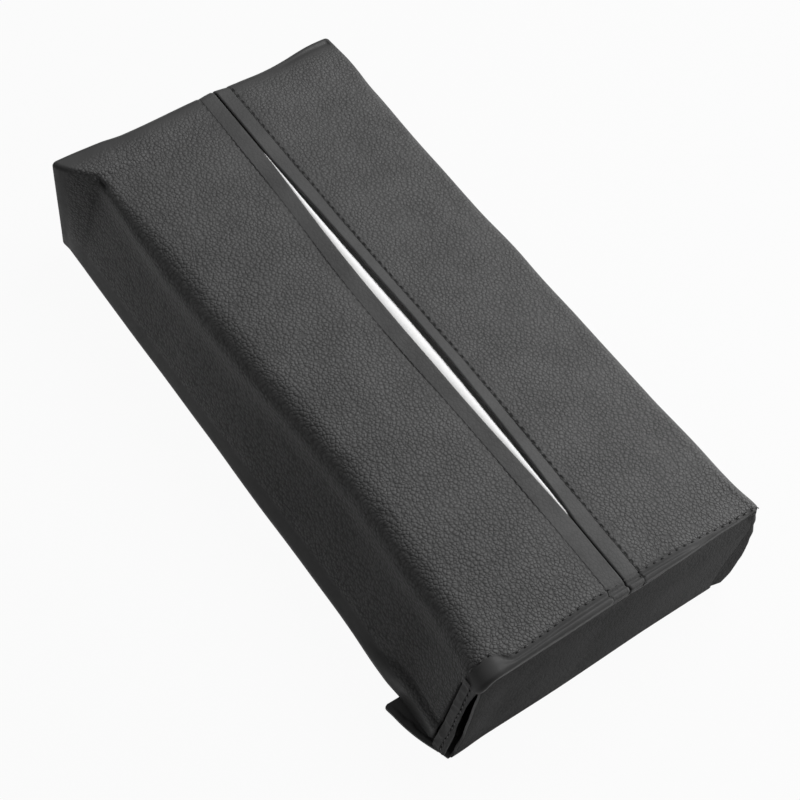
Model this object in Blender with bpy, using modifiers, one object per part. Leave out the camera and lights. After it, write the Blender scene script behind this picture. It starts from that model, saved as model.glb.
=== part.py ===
# Car tissue holder: a sewn cover of imitation leather round a block of folded tissues.
# Two side panels meet at a slit along the top. The front end is a flap that lifts on its
# top seam, with a tab folded under the base. Two elastic bands hold the cover to the car.
# Frame: origin under the middle, +Z up, the long way along Y, the flap at -Y.

import math

import bmesh
import bpy
from mathutils import Matrix, Vector

mm = 0.001

# Cover
coverLength = 240 * mm       # rear face to the front edge of the top
coverHeight = 56 * mm        # resting plane to the top face
baseWidth = 125 * mm         # outside, across the foot of the walls at mid length
footSplay = 2.3 * mm         # each wall's foot stands out this much more at the mouth
baseClearance = 3.4 * mm     # resting plane to the underside of the base
leather = 1.2 * mm
seamGap = 0.3 * mm           # between pieces that are sewn to each other

# How far the shoulders lie inside the feet of the walls, left and right. The ear is outside.
midInset = {"left": 7.5 * mm, "right": 3.7 * mm}
rearInset = {"left": -6 * mm, "right": 4.5 * mm}
frontInset = {"left": 1.5 * mm, "right": 0.5 * mm}
flareLength = {"left": 24 * mm, "right": 80 * mm}  # spread of the top towards both ends
earDroop = {"left": 2.5 * mm, "right": 0.5 * mm}   # fall of the shoulder at the rear corner
shoulderRadius = 9 * mm
rearShoulderRadius = 5 * mm
frontShoulderRadius = 6 * mm
wallHollow = 1.6 * mm        # how far the slack wall draws in at half height
slackFade = 24 * mm          # over which it is drawn taut towards both ends
footRadius = 4 * mm
footLip = 5 * mm             # turned under the base
edgeRoll = 3.2 * mm          # radius of the rolled top edge at both ends
wallEdgeRoll = 1.8 * mm
wallSetback = 7.5 * mm       # front edge of the wall behind the front edge of the top

# Slit and its bindings
slitEnd = 36.5 * mm          # from each end of the top
slitOpening = 5.2 * mm       # at its widest
bindingWidth = 7 * mm        # centre seam to the stitched edge
bindingTape = 1 * mm
bindingFold = 1.25 * mm      # outside radius of the fold at the slit
bindingAllowance = 4 * mm    # lower layer, under the side panel

# Strips down both sides of the mouth
stripLead = 1 * mm           # flat, beside the wall
stripRadius = 5.8 * mm       # round the front corner
stripReturn = 4 * mm         # behind the flap
stripThickness = 2.2 * mm
stripDrop = 1.5 * mm         # below the shoulder
stripFoot = 0.6 * mm         # above the base's underside

# Rear end and base
rearCrown = 1 * mm
baseSetback = 3.1 * mm       # front edge of the base behind the front edge of the top

# Flap and tab
flapThickness = 1.2 * mm
flapInset = {"left": 4 * mm, "right": 5.5 * mm}    # inside the feet of the walls
flapCorner = 5 * mm
flapCurl = 2 * mm            # its free sides bow forward at half height
flapProud = 0.5 * mm         # middle of the flap in front of the cover's front edge
tabThickness = 1 * mm
tabLift = 0.3 * mm           # above the resting plane
tabDepth = 26 * mm
tabInset = {"left": 2.5 * mm, "right": 6.5 * mm}   # inside the feet of the walls
tabSkew = 8.5 * mm           # its free end lies off to the left
tabCorner = 3 * mm

# Hook and loop closure
closureWidth = 80 * mm
closureDepth = 15 * mm
closureThickness = 0.6 * mm
closureCorner = 1.8 * mm
closureInset = 4 * mm        # from the free edge of the tab

# Elastic bands under the base
bandWidth = 25 * mm
bandThickness = 1.4 * mm
bandInset = 6.5 * mm         # its ends inside the feet of the walls
bandSeam = 5 * mm            # sewn to the turned lip of the wall
bandRise = 9 * mm            # over which it climbs from the resting plane
bandPlaces = {"front": 75 * mm, "rear": 45 * mm}   # middles, from each end of the top

# Tissues
stackSideGap = 12.5 * mm     # inside the feet of the walls
stackRearGap = 4 * mm        # to the outside of the rear end
stackFrontGap = 22 * mm      # room for fingers behind the flap
stackHeadroom = 5.8 * mm     # below the top face
stackRounding = 3 * mm
sheetThickness = 0.8 * mm
sheetSideInset = 10 * mm     # inside the stack's sides
sheetEndInset = 14 * mm
ridgeHalfWidth = 17 * mm     # the raised middle that waits under the slit
ridgeFade = 26 * mm

# The ear, the tab and the bowed flap reach further out than their opposite sides, so the
# centre seam lies off the middle of the whole box by this much.
seamPlace = (1.75 * mm, 1.04 * mm, 0.0)

# Steps of the swept surfaces
stationSteps = 16
rollSteps = 3
topSteps = 9
shoulderSteps = 6
wallSteps = 7
footSteps = 4
foldSteps = 6
landSteps = 2
stripSteps = 8
cornerSteps = 5
baseSteps = 12
baseAcrossSteps = 6
flapSteps = 14
tabSteps = 8
riseSteps = 5
sheetSteps = 16
sheetAcrossSteps = 20
bevelSteps = 3
rearRingShares = (1.0, 0.9, 0.62, 0.3)
flapRowShares = (0.0, 0.02, 0.05, 0.09, 0.18, 0.3, 0.42, 0.54, 0.66, 0.78, 0.9, 1.0)
tabRowShares = (0.0, 0.15, 0.3, 0.45, 0.6, 0.75, 0.88, 0.94, 0.98, 1.0)
endPower = 6                 # keeps the ends' droop and bow close to the edges
creaseAngle = math.radians(40)

frontEdge = -coverLength / 2
rearEdge = coverLength / 2
baseTop = baseClearance + leather
rollStart = rearEdge - edgeRoll
slitLength = coverLength - 2 * slitEnd
bandEnd = baseWidth / 2 - bandInset
bandFlatHalf = bandEnd - bandSeam - bandRise
bandCentres = {"front": frontEdge + bandPlaces["front"], "rear": rearEdge - bandPlaces["rear"]}
stackLength = coverLength - stackRearGap - stackFrontGap
stackWidth = baseWidth - 2 * stackSideGap
stackTop = coverHeight - stackHeadroom
sheetHalfWidth = stackWidth / 2 - sheetSideInset
sheetHalfLength = stackLength / 2 - sheetEndInset
signs = {"left": -1, "right": 1}


def clearScene():
    for obj in list(bpy.data.objects):
        bpy.data.objects.remove(obj, do_unlink=True)


def makeCollection(name):
    collection = bpy.data.collections.new(name)
    bpy.context.scene.collection.children.link(collection)
    return collection


def makeMaterial(name, colour, roughness, metallic=0.0):
    material = bpy.data.materials.new(name)
    material.use_nodes = True
    shader = material.node_tree.nodes["Principled BSDF"]
    shader.inputs["Base Color"].default_value = (*colour, 1.0)
    shader.inputs["Roughness"].default_value = roughness
    shader.inputs["Metallic"].default_value = metallic
    material.diffuse_color = (*colour, 1.0)
    return material


def smooth(share):
    share = min(max(share, 0.0), 1.0)
    return share * share * (3.0 - 2.0 * share)


def blend(start, end, share):
    return start + (end - start) * share


def steps(count):
    return [index / count for index in range(count + 1)]


def addObject(name, mesh, collection, material, origin=(0.0, 0.0, 0.0)):
    mesh.transform(Matrix.Translation(-Vector(origin)))
    mesh.materials.append(material)
    mesh.shade_smooth()
    mesh.set_sharp_from_angle(angle=creaseAngle)
    obj = bpy.data.objects.new(name, mesh)
    obj.location = origin
    collection.objects.link(obj)
    return obj


def gridMesh(name, rows):
    # Joins rows of points into an open surface, row beside row.
    mesh = bpy.data.meshes.new(name)
    bm = bmesh.new()
    rings = [[bm.verts.new(point) for point in row] for row in rows]
    for row, nextRow in zip(rings, rings[1:]):
        for index in range(len(row) - 1):
            bm.faces.new((row[index], nextRow[index], nextRow[index + 1], row[index + 1]))
    bm.to_mesh(mesh)
    bm.free()
    return mesh


def thicken(obj, thickness, offset=-1.0):
    modifier = obj.modifiers.new("thickness", "SOLIDIFY")
    modifier.thickness = thickness
    modifier.offset = offset
    modifier.use_even_offset = True
    modifier.use_quality_normals = True
    return modifier


def faceOutwards(mesh, direction):
    # Turns an open surface so that its faces look the given way on average.
    total = sum((polygon.normal * polygon.area for polygon in mesh.polygons), Vector())
    if total.dot(Vector(direction)) < 0:
        mesh.flip_normals()


def endShares(y, reach):
    # How near a place is to the rear and to the front end, from 0 to 1.
    return smooth(1.0 - (rearEdge - y) / reach), smooth(1.0 - (y - frontEdge) / reach)


def topHalf(side, y):
    rear, front = endShares(y, flareLength[side])
    inset = midInset[side]
    change = (rearInset[side] - inset) * rear + (frontInset[side] - inset) * front
    return baseWidth / 2 - inset - change


def shoulderAt(side, y):
    rear, front = endShares(y, flareLength[side])
    change = (rearShoulderRadius - shoulderRadius) * rear
    return shoulderRadius + change + (frontShoulderRadius - shoulderRadius) * front


def footHalf(y):
    return baseWidth / 2 - footSplay * y / rearEdge


def wallTangent(side, y):
    # The straight wall touches the shoulder's arc and the foot's arc from outside.
    radius = shoulderAt(side, y)
    shoulderTop = coverHeight - earDroop[side] * endShares(y, flareLength[side])[0]
    shoulderCentre = Vector((topHalf(side, y) - radius, shoulderTop - radius))
    footCentre = Vector((footHalf(y) - footRadius, baseClearance + footRadius))
    between = shoulderCentre - footCentre
    angle = math.atan2(between.y, between.x)
    angle -= math.acos((footRadius - radius) / between.length)
    return shoulderCentre, footCentre, radius, angle


def sectionPoint(side, y, column):
    # One point of the cover's outline across X and Z, with its outward normal and
    # how far down the wall it lies, from 0 on the top to 1 on the wall.
    shoulderCentre, footCentre, radius, tangent = wallTangent(side, y)
    innerEdge = bindingWidth + seamGap
    if column <= topSteps:
        share = column / topSteps
        x = blend(innerEdge, shoulderCentre.x, share)
        fall = (coverHeight - shoulderCentre.y - radius) * share ** endPower
        return Vector((x, coverHeight - fall)), Vector((0.0, 1.0)), 0.0
    column -= topSteps
    if column <= shoulderSteps:
        share = column / shoulderSteps
        angle = blend(math.pi / 2, tangent, share)
        normal = Vector((math.cos(angle), math.sin(angle)))
        return shoulderCentre + normal * radius, normal, smooth(share)
    column -= shoulderSteps
    normal = Vector((math.cos(tangent), math.sin(tangent)))
    if column <= wallSteps:
        share = column / wallSteps
        upper = shoulderCentre + normal * radius
        lower = footCentre + normal * footRadius
        slack = wallHollow * (1.0 - max(endShares(y, slackFade)))
        point = upper.lerp(lower, share) - normal * slack * math.sin(math.pi * share)
        return point, normal, 1.0
    column -= wallSteps
    if column <= footSteps:
        angle = blend(tangent, -math.pi / 2, column / footSteps)
        normal = Vector((math.cos(angle), math.sin(angle)))
        return footCentre + normal * footRadius, normal, 1.0
    return footCentre - Vector((footLip, footRadius)), Vector((0.0, -1.0)), 1.0


lastColumn = topSteps + shoulderSteps + wallSteps + footSteps + 1


def panelStations(side):
    # Rows of the side panel from the rear edge to the front edge. Each end rolls inwards.
    rows = []
    columns = range(lastColumn + 1)
    for share in reversed(steps(rollSteps)[1:]):
        turn = share * math.pi / 2
        y = rollStart + edgeRoll * math.sin(turn)
        rows.append([rolledPoint(side, y, column, edgeRoll, turn) for column in columns])
    for share in steps(stationSteps):
        rows.append([panelPoint(side, column, share, 0.0) for column in columns])
    for share in steps(rollSteps)[1:]:
        turn = share * math.pi / 2
        rows.append([panelPoint(side, column, 1.0, turn) for column in columns])
    return rows


def rolledPoint(side, y, column, roll, turn):
    point, normal = sectionPoint(side, y, column)[:2]
    point = point - normal * roll * (1.0 - math.cos(turn))
    return (signs[side] * point.x, y, point.y)


def panelPoint(side, column, share, turn):
    depth = sectionPoint(side, frontEdge, column)[2]
    roll = blend(edgeRoll, wallEdgeRoll, depth)
    front = frontEdge + wallSetback * depth + roll
    y = blend(rollStart, front, share) - roll * math.sin(turn)
    return rolledPoint(side, y, column, roll, turn)


def makeSidePanel(side, collection, material):
    mesh = gridMesh(side + "_panel", panelStations(side))
    faceOutwards(mesh, (signs[side], 0.0, 0.0))
    obj = addObject(side + "_panel", mesh, collection, material)
    thicken(obj, leather)
    return obj


def slitHalf(y):
    # Half the opening between the two bindings: a slim lens over the slit's length.
    share = min(abs(2.0 * y / slitLength), 1.0)
    return seamGap / 2 + (slitOpening - seamGap) / 2 * (1.0 - share * share)


def bindingSection(y):
    # A tape folded round the slit's edge, as pairs of x and depth below the top.
    half = slitHalf(y)
    outer = bindingWidth + bindingAllowance
    centre = half + bindingFold
    section = [(blend(bindingWidth, centre, share), 0.0) for share in steps(landSteps)]
    for share in steps(foldSteps)[1:]:
        angle = share * math.pi
        x = centre - bindingFold * math.sin(angle)
        section.append((x, bindingFold * (1.0 - math.cos(angle))))
    section += [(blend(centre, outer, share), 2 * bindingFold) for share in steps(landSteps)[1:]]
    return section


def topPath():
    # Places along the top as y of the roll's start, turn of the roll and its direction.
    path = [(rollStart, share * math.pi / 2, 1) for share in reversed(steps(rollSteps)[1:])]
    path += [(blend(rollStart, -rollStart, share), 0.0, 1) for share in steps(2 * stationSteps)]
    path += [(-rollStart, share * math.pi / 2, -1) for share in steps(rollSteps)[1:]]
    return path


def makeSlitBinding(side, collection, material):
    rows = []
    for start, turn, way in topPath():
        row = []
        for x, depth in bindingSection(start):
            reach = edgeRoll - depth
            y = start + way * reach * math.sin(turn)
            z = coverHeight - edgeRoll + reach * math.cos(turn)
            row.append((signs[side] * x, y, z))
        rows.append(row)
    mesh = gridMesh("slit_binding_" + side, rows)
    faceTop(mesh)
    obj = addObject("slit_binding_" + side, mesh, collection, material)
    thicken(obj, bindingTape)
    return obj


def faceTop(mesh):
    # Turns a folded surface so that its highest faces look up.
    highest = max(mesh.polygons, key=lambda polygon: polygon.center.z)
    if highest.normal.z < 0:
        mesh.flip_normals()


def makeMouthStrip(side, collection, material):
    # The strip goes on from the wall's front edge, round the corner and behind the flap.
    wallFront = frontEdge + wallSetback
    shoulderCentre, footCentre, radius, tangent = wallTangent(side, wallFront)
    normal = Vector((math.cos(tangent), math.sin(tangent)))
    upper = shoulderCentre + normal * radius
    lower = footCentre + normal * footRadius
    slope = (upper.x - lower.x) / (upper.y - lower.y)
    topZ = coverHeight - frontShoulderRadius - stripDrop
    bottomZ = baseClearance + stripFoot
    rows = []
    for share in steps(stripSteps):
        z = blend(bottomZ, topZ, share)
        x = lower.x + slope * (z - lower.y)
        start = Vector((x, wallFront - seamGap, z))
        row = [start]
        for turnShare in steps(cornerSteps):
            turn = turnShare * math.pi / 2
            inward = stripRadius * (1.0 - math.cos(turn))
            forward = stripLead + stripRadius * math.sin(turn)
            row.append(start - Vector((inward, forward, 0.0)))
        row.append(row[-1] - Vector((stripReturn, 0.0, 0.0)))
        rows.append([(signs[side] * point.x, point.y, point.z) for point in row])
    mesh = gridMesh("mouth_strip_" + side, rows)
    faceOutwards(mesh, (signs[side], -1.0, 0.0))
    obj = addObject("mouth_strip_" + side, mesh, collection, material)
    thicken(obj, stripThickness)
    return obj


def rearOutline():
    # The cover's outline at its rear, drawn in to the rolled edges that hold the end.
    inset = edgeRoll + seamGap
    outline = []
    for side in ("right", "left"):
        points = []
        for column in range(1, lastColumn + 1):
            point, normal = sectionPoint(side, rearEdge, column)[:2]
            point = point - normal * inset
            points.append(Vector((signs[side] * point.x, point.y)))
        outline += points if side == "right" else list(reversed(points))
    return outline


def makeRearEnd(collection, material):
    outline = rearOutline()
    centre = Vector((0.0, (baseClearance + coverHeight) / 2))
    mesh = bpy.data.meshes.new("rear_end_panel")
    bm = bmesh.new()
    rings = []
    for share in rearRingShares:
        y = rearEdge + rearCrown * (1.0 - share * share)
        ring = [centre.lerp(point, share) for point in outline]
        rings.append([bm.verts.new((point.x, y, point.y)) for point in ring])
    count = len(outline)
    for ring, inner in zip(rings, rings[1:]):
        for index in range(count):
            after = (index + 1) % count
            bm.faces.new((ring[index], ring[after], inner[after], inner[index]))
    middle = bm.verts.new((centre.x, rearEdge + rearCrown, centre.y))
    for index in range(count):
        bm.faces.new((rings[-1][index], rings[-1][(index + 1) % count], middle))
    bm.to_mesh(mesh)
    bm.free()
    faceOutwards(mesh, (0.0, 1.0, 0.0))
    obj = addObject("rear_end_panel", mesh, collection, material)
    thicken(obj, leather)
    return obj


def makeBase(collection, material):
    front = frontEdge + baseSetback
    places = [(blend(front, rollStart, share), baseClearance) for share in steps(baseSteps)]
    for share in steps(rollSteps)[1:]:
        turn = share * math.pi / 2
        rise = edgeRoll * (1.0 - math.cos(turn))
        places.append((rollStart + edgeRoll * math.sin(turn), baseClearance + rise))
    rows = []
    for y, z in places:
        half = footHalf(y) - footRadius - footLip - seamGap
        rows.append([(blend(-half, half, across), y, z) for across in steps(baseAcrossSteps)])
    mesh = gridMesh("base_panel", rows)
    faceOutwards(mesh, (0.0, 0.0, -1.0))
    obj = addObject("base_panel", mesh, collection, material)
    thicken(obj, leather)
    return obj


flapPlane = frontEdge - flapProud
flapAxisZ = coverHeight - edgeRoll - seamGap - flapThickness / 2
tabAxisZ = tabLift + tabThickness / 2
flapBottom = tabLift + tabThickness + seamGap


def cornerInset(distance, radius):
    # How far a rounded corner draws a side in, at a distance from the free edge.
    if distance >= radius:
        return 0.0
    return radius - math.sqrt(radius * radius - (radius - distance) ** 2)


def makeFlap(collection, material, hinge):
    rows = []
    for share in flapRowShares:
        z = blend(flapBottom, flapAxisZ, share)
        inset = cornerInset(z - flapBottom, flapCorner)
        left = flapInset["left"] + inset - baseWidth / 2
        right = baseWidth / 2 - flapInset["right"] - inset
        row = []
        for across in steps(flapSteps):
            side = abs(2.0 * across - 1.0)
            bow = flapCurl * side ** endPower * math.sin(math.pi * share)
            row.append((blend(left, right, across), flapPlane - bow, z))
        rows.append(row)
    mesh = gridMesh("front_flap", rows)
    faceOutwards(mesh, (0.0, -1.0, 0.0))
    obj = addObject("front_flap", mesh, collection, material, hinge)
    thicken(obj, flapThickness, 0.0)
    return obj


def makeTab(collection, material, hinge):
    rows = []
    for share in tabRowShares:
        distance = (1.0 - share) * tabDepth
        inset = cornerInset(distance, tabCorner)
        shift = tabSkew * (1.0 - (1.0 - share) ** 2)
        left = tabInset["left"] + inset - shift - baseWidth / 2
        right = baseWidth / 2 - tabInset["right"] - inset - shift
        y = flapPlane + share * tabDepth
        rows.append([(blend(left, right, across), y, tabAxisZ) for across in steps(tabSteps)])
    mesh = gridMesh("tuck_tab", rows)
    faceOutwards(mesh, (0.0, 0.0, 1.0))
    obj = addObject("tuck_tab", mesh, collection, material, hinge)
    thicken(obj, tabThickness, 0.0)
    return obj


def makeClosure(name, bottom, collection, material, origin=(0.0, 0.0, 0.0)):
    # A strip of hook or loop tape, with its corners rounded.
    rear = flapPlane + tabDepth - closureInset
    mesh = bpy.data.meshes.new(name)
    bm = bmesh.new()
    bmesh.ops.create_cube(bm, size=1.0)
    size = Vector((closureWidth, closureDepth, closureThickness))
    bmesh.ops.scale(bm, vec=size, verts=bm.verts)
    upright = [edge for edge in bm.edges if abs(edge.verts[0].co.z - edge.verts[1].co.z) > 0]
    bmesh.ops.bevel(bm, geom=upright, offset=closureCorner, segments=bevelSteps,
                    profile=0.5, affect="EDGES")
    place = Vector((0.0, rear - closureDepth / 2, bottom + closureThickness / 2))
    bmesh.ops.translate(bm, vec=place, verts=bm.verts)
    bm.to_mesh(mesh)
    bm.free()
    return addObject(name, mesh, collection, material, origin)


def makeBand(name, centre, collection, material):
    # Flat under the base and lifted at both ends to the seams at the feet of the walls.
    lift = baseClearance - seamGap - bandThickness
    places = [-bandEnd] + [-bandFlatHalf - bandRise * share for share in reversed(steps(riseSteps))]
    places += [-place for place in reversed(places)]
    row = [(x, lift * smooth((abs(x) - bandFlatHalf) / bandRise)) for x in places]
    edges = (centre - bandWidth / 2, centre + bandWidth / 2)
    mesh = gridMesh(name, [[(x, y, z) for x, z in row] for y in edges])
    faceOutwards(mesh, (0.0, 0.0, -1.0))
    obj = addObject(name, mesh, collection, material)
    thicken(obj, bandThickness)
    return obj


def makeStack(collection, material):
    bottom = baseTop + seamGap
    centreY = rearEdge - stackRearGap - stackLength / 2
    mesh = bpy.data.meshes.new("tissue_stack")
    bm = bmesh.new()
    bmesh.ops.create_cube(bm, size=1.0)
    bmesh.ops.scale(bm, vec=(stackWidth, stackLength, stackTop - bottom), verts=bm.verts)
    place = (0.0, centreY, (stackTop + bottom) / 2)
    bmesh.ops.translate(bm, vec=place, verts=bm.verts)
    bm.to_mesh(mesh)
    bm.free()
    obj = addObject("tissue_stack", mesh, collection, material)
    bevel = obj.modifiers.new("soft edges", "BEVEL")
    bevel.width = stackRounding
    bevel.segments = bevelSteps
    return obj


def makeTopSheet(collection, material):
    # The next tissue: flat on the stack, raised in the middle up to the slit.
    low = stackTop + seamGap + sheetThickness
    high = coverHeight - 2 * bindingFold - seamGap
    rows = []
    for share in steps(sheetSteps):
        y = blend(-sheetHalfLength, sheetHalfLength, share)
        fade = smooth((sheetHalfLength - abs(y)) / ridgeFade)
        row = []
        for across in steps(sheetAcrossSteps):
            x = blend(-sheetHalfWidth, sheetHalfWidth, across)
            reach = min(abs(x) / ridgeHalfWidth, 1.0)
            bump = (1.0 + math.cos(math.pi * reach)) / 2
            row.append((x, y, low + (high - low) * bump * fade))
        rows.append(row)
    mesh = gridMesh("top_tissue", rows)
    faceTop(mesh)
    obj = addObject("top_tissue", mesh, collection, material)
    thicken(obj, sheetThickness)
    return obj


def parentTo(child, parent):
    child.parent = parent
    child.matrix_parent_inverse = Matrix.Translation(-Vector(parent.location))


def build():
    clearScene()
    collection = makeCollection("car_tissue_holder")
    grained = makeMaterial("grained_leather", (0.062, 0.062, 0.064), 0.5)
    pressed = makeMaterial("pressed_leather", (0.055, 0.055, 0.057), 0.42)
    paper = makeMaterial("tissue_paper", (0.9, 0.9, 0.89), 0.9)
    elastic = makeMaterial("elastic_webbing", (0.02, 0.02, 0.021), 0.8)
    closure = makeMaterial("hook_and_loop_tape", (0.03, 0.03, 0.031), 0.85)

    for side in ("left", "right"):
        makeSidePanel(side, collection, grained)
        makeSlitBinding(side, collection, pressed)
        makeMouthStrip(side, collection, pressed)
    makeRearEnd(collection, grained)
    makeBase(collection, grained)
    loopBottom = baseClearance - seamGap - closureThickness
    makeClosure("base_loop_strip", loopBottom, collection, closure)
    for place, centre in bandCentres.items():
        makeBand("elastic_band_" + place, centre, collection, elastic)
    makeStack(collection, paper)
    makeTopSheet(collection, paper)

    flapHinge = (0.0, flapPlane, flapAxisZ)
    tabHinge = (0.0, flapPlane, tabAxisZ)
    flap = makeFlap(collection, grained, flapHinge)
    tab = makeTab(collection, grained, tabHinge)
    hookBottom = tabLift + tabThickness + seamGap
    hooks = makeClosure("tab_hook_strip", hookBottom, collection, closure, tabHinge)
    parentTo(tab, flap)
    parentTo(hooks, tab)
    for obj in collection.objects:
        if obj.parent is None:
            obj.location += Vector(seamPlace)


build()
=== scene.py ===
import math

import bmesh
import bpy
from mathutils import Matrix, Vector, noise


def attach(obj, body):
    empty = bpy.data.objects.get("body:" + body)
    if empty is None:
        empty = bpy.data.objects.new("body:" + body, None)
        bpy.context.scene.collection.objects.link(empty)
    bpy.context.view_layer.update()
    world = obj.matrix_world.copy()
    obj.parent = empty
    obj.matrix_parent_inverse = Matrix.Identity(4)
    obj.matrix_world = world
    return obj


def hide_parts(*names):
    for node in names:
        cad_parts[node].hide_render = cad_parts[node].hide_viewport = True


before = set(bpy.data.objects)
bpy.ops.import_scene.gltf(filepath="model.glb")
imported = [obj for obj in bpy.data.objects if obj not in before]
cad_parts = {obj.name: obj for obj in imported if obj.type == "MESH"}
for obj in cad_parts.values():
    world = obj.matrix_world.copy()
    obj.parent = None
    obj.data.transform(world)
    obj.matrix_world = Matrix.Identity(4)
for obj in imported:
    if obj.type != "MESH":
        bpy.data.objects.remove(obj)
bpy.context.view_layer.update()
print("stage: CAD frame loaded")

# Every shape below is drawn in millimetres from the centre seam, then scaled and set in place.
mm = 0.001
uvUnit = 100.0            # millimetres to one unit of a piece's UV map
seamOffset = 10.0         # keeps the patterns of the two side panels apart
seamPlace = Vector((1.75, 1.04, 0.0))
sideSign = {"left": -1, "right": 1}


class Link:
    # A socket that can be used in plain arithmetic.
    def __init__(self, maker, socket):
        self.maker, self.socket = maker, socket

    def work(self, operation, *values):
        return self.maker.node("ShaderNodeMath", {"operation": operation}, dict(enumerate(values)))

    def __add__(self, other):
        return self.work("ADD", self, other)

    def __sub__(self, other):
        return self.work("SUBTRACT", self, other)

    def __rsub__(self, other):
        return self.work("SUBTRACT", other, self)

    def __mul__(self, other):
        return self.work("MULTIPLY", self, other)

    def __truediv__(self, other):
        return self.work("DIVIDE", self, other)

    __radd__, __rmul__ = __add__, __mul__

    def __abs__(self):
        return self.work("ABSOLUTE", self)

    def most(self, other):
        return self.work("MAXIMUM", self, other)

    def other(self, name):
        # Another output of the same node
        return Link(self.maker, self.socket.node.outputs[name])

    def wave(self, period):
        # 0 at every whole period and 1 half way between
        return self.work("PINGPONG", self, period / 2) / (period / 2)

    def ramp(self, low, high):
        values = {"Value": self, "From Min": low, "From Max": high}
        return self.maker.node("ShaderNodeMapRange", {"interpolation_type": "SMOOTHSTEP"}, values)


class Nodes:
    # The nodes of one material, or of the world
    def __init__(self, tree):
        self.tree = tree

    def node(self, kind, settings=None, inputs=None, output=0):
        node = self.tree.nodes.new(kind)
        for key, value in (settings or {}).items():
            setattr(node, key, value)
        for key, value in (inputs or {}).items():
            self.feed(node.inputs[key], value)
        return Link(self, node.outputs[output])

    def feed(self, socket, value):
        if isinstance(value, Link):
            self.tree.links.new(value.socket, socket)
        else:
            socket.default_value = value


class Finish(Nodes):
    # One material and the nodes that feed its Principled shader
    def __init__(self, name, colour, roughness):
        self.material = bpy.data.materials.new(name)
        self.material.use_nodes = True
        super().__init__(self.material.node_tree)
        self.shader = self.tree.nodes["Principled BSDF"]
        self.set("Base Color", (*colour, 1.0))
        self.set("Roughness", roughness)
        self.material.diffuse_color = (*colour, 1.0)

    def set(self, name, value):
        self.feed(self.shader.inputs[name], value)

    def place(self):
        return self.node("ShaderNodeTexCoord", output="Object")

    def cloth(self):
        # Along and across the piece in millimetres, from its own UV map.
        split = self.node("ShaderNodeSeparateXYZ", inputs={0: self.node("ShaderNodeUVMap")})
        return split * uvUnit, split.other("Y") * uvUnit

    def noise(self, place, size, detail=2.0, roughness=0.5):
        values = {"Vector": place, "Scale": 1.0 / (size * mm), "Detail": detail, "Roughness": roughness}
        return self.node("ShaderNodeTexNoise", {"noise_dimensions": "3D"}, values)

    def mix(self, share, first, second):
        values = {"Factor": share, 6: first, 7: second}
        return self.node("ShaderNodeMix", {"data_type": "RGBA"}, values, 2)

    def bump(self, height, depth, strength=1.0, normal=None):
        values = {"Height": height, "Distance": depth * mm, "Strength": strength}
        if normal is not None:
            values["Normal"] = normal
        return self.node("ShaderNodeBump", inputs=values)

    def coat(self, share, dark, light, relief, depth, strength, under=None):
        # The colour goes from dark to light with share, and relief raises the surface.
        self.set("Base Color", self.mix(share, (*dark, 1.0), (*light, 1.0)))
        self.set("Normal", self.bump(relief, depth, strength, under))
        return self.material


def grey(value, warmth=0.0):
    return (value * (1.0 + warmth), value, value * (1.0 - warmth))


# Black imitation leather: lychee grain, pressed flat along its hems and stitched lines, where painted shade
# also darkens it
leather = {
    "dark": 0.031,
    "light": 0.09,
    "roughness": 0.46,
    "specular": 0.14,
    "cell": 1.2,          # spacing of the pebbles
    "dome": 1.8,          # how fast a pebble falls off from its middle
    "valley": 0.2,
    "swirl": 0.9,         # a slow noise draws them this far out of line
    "swirlSize": 3.2,
    "grainDepth": 0.42,
    "mottleSize": 14.0,
    "pressedPaintedShade": 0.35,  # painted shade: pressed leather is drawn darker by this share, and a stitch's pit by the next
    "pitPaintedShade": 0.85,
    "fineSize": 0.45,
    "fineDepth": 0.03,
    "slackSize": 9.0,
    "slackDepth": 0.28,
}


def grainHeight(finish, place):
    # Rounded pebbles parted by narrow valleys
    swirl = finish.node("ShaderNodeTexNoise", {"noise_dimensions": "3D"},
                        {"Vector": place, "Scale": 1.0 / (leather["swirlSize"] * mm), "Detail": 1.0}, 1)
    centred = finish.node("ShaderNodeVectorMath", {"operation": "SUBTRACT"}, {0: swirl, 1: (0.5, 0.5, 0.5)})
    pulled = finish.node("ShaderNodeVectorMath", {"operation": "SCALE"},
                         {0: centred, "Scale": leather["swirl"] * mm})
    moved = finish.node("ShaderNodeVectorMath", {"operation": "ADD"}, {0: place, 1: pulled})
    values = {"Vector": moved, "Scale": 1.0 / (leather["cell"] * mm)}
    middle = finish.node("ShaderNodeTexVoronoi", {"feature": "F1"}, values)
    edge = finish.node("ShaderNodeTexVoronoi", {"feature": "DISTANCE_TO_EDGE"}, values)
    dome = (1.0 - middle * middle * leather["dome"]).most(0.0)
    return dome * 0.7 + edge.ramp(0.0, leather["valley"]) * 0.3


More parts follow.
